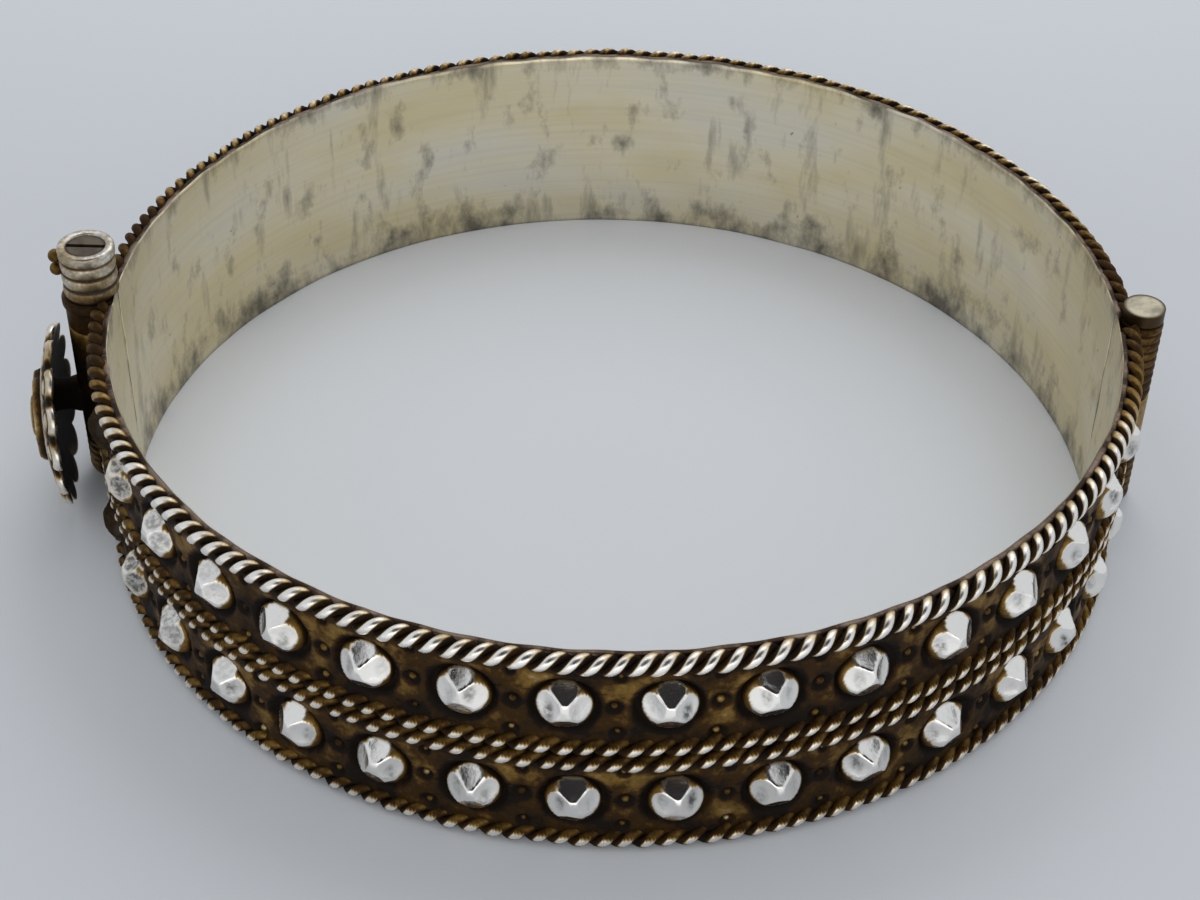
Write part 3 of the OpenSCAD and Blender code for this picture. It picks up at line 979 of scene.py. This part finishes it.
def scallop(turn, radius, petals, half):
    """The outline's distance from the centre at each angle, and the angle to the nearest petal."""
    step = 2 * np.pi / petals
    # The first petal stands a quarter of a step from level.
    off = (turn - step / 4 + step / 2) % step - step / 2
    middle = radius - half
    return middle * np.cos(off) + np.sqrt(np.maximum(half ** 2 - (middle * np.sin(off)) ** 2, 0)), off


def ring(distance, radius, width):
    """One on a ring and zero away from it."""
    return np.exp(-((distance - radius) / width) ** 2)


def petal_distance(rho, off, radius):
    """How far a point is from the middle of the nearest petal."""
    return np.hypot(rho * np.cos(off) - (radius - PETAL_HALF), rho * np.sin(off))


def rosette_front(rho, turn):
    """How far the rosette's face stands off its rim's plane at a distance and angle, and how dark it is,
    darker in its stamps and valleys and at the steps of the flower and the boss.
    """
    rim, off = scallop(turn, ROSETTE_R, PETALS, PETAL_HALF)
    dome = DOME + PETAL_T - BOWL_R + np.sqrt(BOWL_R ** 2 - rho ** 2)
    stamp = ring(petal_distance(rho, off, ROSETTE_R), *PETAL_STAMP)
    valley = smooth_step(0.55, 0.95, np.abs(off) * PETALS / np.pi) * smooth_step(3.2, 4.2, rho)
    face = dome - PETAL_STAMP_DEPTH * stamp - VALLEY_DEPTH * valley
    face -= RIM_FALL * smooth_step(rim - 0.22, rim, rho)
    flower_rim, flower_off = scallop(turn, FLOWER_R, FLOWER_PETALS, PETAL_HALF)
    flower = smooth_step(flower_rim + 0.04, flower_rim - 0.14, rho)
    flower_stamp = ring(petal_distance(rho, flower_off, FLOWER_R), *FLOWER_STAMP) * (rho > BOSS_R + 0.1)
    flower_z = DOME + PETAL_T + FLOWER_RISE - 0.03 * rho
    boss_z = DOME + PETAL_T + FLOWER_RISE + BOSS_RISE - 0.12 * (rho / BOSS_R) ** 2
    boss = smooth_step(BOSS_R + 0.04, BOSS_R - 0.12, rho)
    boss_stamp = ring(rho, *BOSS_STAMP)
    face = face + flower * (np.maximum(flower_z, face) - FLOWER_STAMP_DEPTH * flower_stamp - face)
    face = face + boss * (boss_z - BOSS_STAMP_DEPTH * boss_stamp - face)
    step_edge = ring(rho - flower_rim, 0.12, 0.2) + ring(rho - BOSS_R, 0.1, 0.14)
    dirt = 0.26 + 0.7 * np.maximum(stamp, flower_stamp) + 0.75 * valley
    dirt = dirt + 0.7 * boss_stamp * boss + 0.85 * step_edge
    return face, np.clip(dirt, 0, 0.95)


def rosette_plate():
    """The rosette's skin, shaped (around, from the front's middle to the back's, 3), and its dirt and
    shading, with a painted shadow on the back.
    """
    turn = around(PETALS * 26)[:, None]
    rim, _ = scallop(turn, ROSETTE_R, PETALS, PETAL_HALF)
    front_rho = rim * np.linspace(0.004, 1, 76)[None, :]
    face, face_darkness = rosette_front(front_rho, np.broadcast_to(turn, front_rho.shape))
    back_rho = rim * np.array([[0.995, 0.97, 0.75, 0.4, 0.004]])
    back = DOME + 0.04 - BOWL_R + np.sqrt(BOWL_R ** 2 - back_rho ** 2)
    # The back is painted near black as shadow, lighter only at the rim's edge.
    back_shadow = np.broadcast_to(np.array([[0.2, 0.75, 1.1, 1.2, 1.2]]), back_rho.shape)
    rho = np.concatenate([front_rho, back_rho], 1)
    out = np.concatenate([face, back], 1)
    points = np.stack([RIM_OUT + out, ROSETTE_SHIFT + rho * np.cos(turn), rho * np.sin(turn)], -1)
    return points, np.concatenate([face_darkness, back_shadow], 1)


def rosette_piece(body, material):
    """The rosette and its stem, turned outward from the clasp."""
    plate, dirt = rosette_plate()
    stem = np.array([[(x, r * math.cos(a), r * math.sin(a)) for a in around(32)] for x, r in STEM])
    turned = np.array(Matrix.Rotation(math.radians(ROSETTE_TURN), 3, "Z"))
    middle = np.array([-CLASP["axis_r"], 0, ROSETTE_Z])
    skin = Skin()
    skin.add(*loft(plate @ turned.T + middle, ring=True), dirt=dirt.ravel())
    skin.add(*loft(stem @ turned.T + middle), dirt=0.93)
    return skin.build("clasp_rosette", material, body)


# The stage.

# The camera's place and target in millimetres, its roll in degrees and its lens.
CAMERA_PLACE = (0, -108.5, 89.7)
CAMERA_TARGET = (-0.79, 2.66, 0)
CAMERA_ROLL = 1.20
LENS = 66.0

# Half the floor's width in metres.
FLOOR_HALF = 1.5


def add_camera():
    """The view from the front and above, rolled slightly."""
    place = Vector(CAMERA_PLACE) * MM
    back = (place - Vector(CAMERA_TARGET) * MM).normalized()
    level = Vector((0, 0, 1)).cross(back).normalized()
    upright = back.cross(level)
    roll = math.radians(CAMERA_ROLL)
    right = level * math.cos(roll) + upright * math.sin(roll)
    up = upright * math.cos(roll) - level * math.sin(roll)
    data = bpy.data.cameras.new("camera")
    data.lens = LENS
    data.sensor_width = 36.0
    data.clip_start = 0.005
    camera = bpy.data.objects.new("camera", data)
    camera.matrix_world = Matrix.Translation(place) @ Matrix((right, up, back)).transposed().to_4x4()
    bpy.context.scene.collection.objects.link(camera)
    bpy.context.scene.camera = camera


def add_floor():
    """A wide sheet of paper under the band."""
    mesh = bpy.data.meshes.new("floor")
    corners = [(x * FLOOR_HALF, y * FLOOR_HALF, 0) for x, y in ((-1, -1), (1, -1), (1, 1), (-1, 1))]
    mesh.from_pydata(corners, [], [(0, 1, 2, 3)])
    mesh.materials.append(floor_material())
    floor = bpy.data.objects.new("floor", mesh)
    bpy.context.scene.collection.objects.link(floor)


def toward(tree, direction, way):
    """The cosine between a world direction and a given way."""
    dot = tree.nodes.new("ShaderNodeVectorMath")
    dot.operation = "DOT_PRODUCT"
    dot.inputs[1].default_value = Vector(way).normalized()
    tree.links.new(direction, dot.inputs[0])
    return dot.outputs["Value"]


# The room's light, its brighter part low in front, and the dark patch that metal mirrors.
ROOM_LIGHT = (0.56, 0.58, 0.61)
FRONT_LIGHT = (1.3, 1.28, 1.24)
FRONT_WAY = (0, -1, 0.15)
DARK_PATCH = (0.012, 0.010, 0.011)
DARK_WAY = (0.05, -0.5, 0.87)
ROOM_STRENGTH = 1.16

# The window's place and size in metres, and its power.
WINDOW_PLACE = (0.16, 0.5, 0.75)
WINDOW_SIZE = 0.8
WINDOW_POWER = 2.2


def add_world():
    """Soft pale light all round, brighter low in front, with a dark patch above the viewer."""
    world = bpy.data.worlds.new("soft_room")
    bpy.context.scene.world = world
    world.use_nodes = True
    tree = world.node_tree
    background = tree.nodes["Background"]
    direction = tree.nodes.new("ShaderNodeTexCoord").outputs["Generated"]
    glow = span(tree, toward(tree, direction, FRONT_WAY), 0.7, 0.97, 0.0, 1.0)
    dark = span(tree, toward(tree, direction, DARK_WAY), 0.78, 0.9, 0.0, 1.0)
    dark = maths(tree, "MULTIPLY", dark, in_mirror(tree))
    colour = blend(tree, glow, ROOM_LIGHT, FRONT_LIGHT)
    colour = blend(tree, dark, colour, DARK_PATCH)
    tree.links.new(colour, background.inputs["Color"])
    background.inputs["Strength"].default_value = ROOM_STRENGTH


def add_window():
    """A soft square light behind and above, turned to the band."""
    data = bpy.data.lights.new("window", "AREA")
    data.size = WINDOW_SIZE
    data.energy = WINDOW_POWER
    light = bpy.data.objects.new("window", data)
    light.location = WINDOW_PLACE
    light.rotation_euler = (-Vector(WINDOW_PLACE)).to_track_quat("-Z", "Y").to_euler()
    bpy.context.scene.collection.objects.link(light)


# The pin and the screw.

# The pin's head: its colour, the rim's colour, the height of its top and the radius where the rim begins.
PIN_COLOUR = (0.44, 0.40, 0.30)
PIN_RIM_COLOUR = (0.06, 0.038, 0.016)
PIN_TOP_Z = 14.25
PIN_RIM_R = 1.1

# The same for the screw's head.
SCREW_COLOUR = (0.13, 0.105, 0.075)
SCREW_RIM_COLOUR = (0.05, 0.04, 0.03)
SCREW_TOP_Z = 16.7
SCREW_RIM_R = 1.05


def coat(node, material):
    """Gives a solid's node one material all over."""
    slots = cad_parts[node].data.materials
    if not slots:
        slots.append(material)
    for i in range(len(slots)):
        slots[i] = material


def pin_and_screw():
    """The pin's bright head, and the screw's dark, slotted one."""
    pin_top = (HINGE["axis_r"], 0, PIN_TOP_Z)
    coat("hinge_pin", worn_disc("pin_silver", PIN_COLOUR, PIN_RIM_COLOUR, pin_top, PIN_RIM_R))
    screw_top = (-CLASP["axis_r"], 0, SCREW_TOP_Z)
    coat("clasp_screw", worn_disc("screw_silver", SCREW_COLOUR, SCREW_RIM_COLOUR, screw_top, SCREW_RIM_R))


# Everything together.

add_camera()
add_floor()
add_world()
add_window()
bpy.context.scene.view_settings.view_transform = "Standard"

wire_silver = tarnished_silver("wire_silver", smooth=0.27, stain=0.5)
stud_silver = tarnished_silver("stud_silver", smooth=0.16, stain=0.2)
strip_silver = tarnished_silver("strip_silver", smooth=0.25, stain=1.1, uneven=0.7)
joint_silver = tarnished_silver("joint_silver", smooth=0.25, stain=0.4)
rosette_silver = tarnished_silver("rosette_silver", smooth=0.18, stain=0.9)
collar_silver = tarnished_silver("collar_silver", smooth=0.22, stain=0.9)
wall_silver = inner_wall_silver()

for half, side, body in HALVES:
    sheet = sheet_piece(half, side, body, wall_silver)
    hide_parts(half + "_band")
    wires_pieces(half, side, body, wire_silver)
    studs_piece(half, side, body, stud_silver)
    strip_piece(half, side, body, strip_silver)
    clasp_knuckles(half, body, collar_silver)
    hinge_knuckles(half, body, joint_silver)
rosette_piece("front_half", rosette_silver)

pin_and_screw()
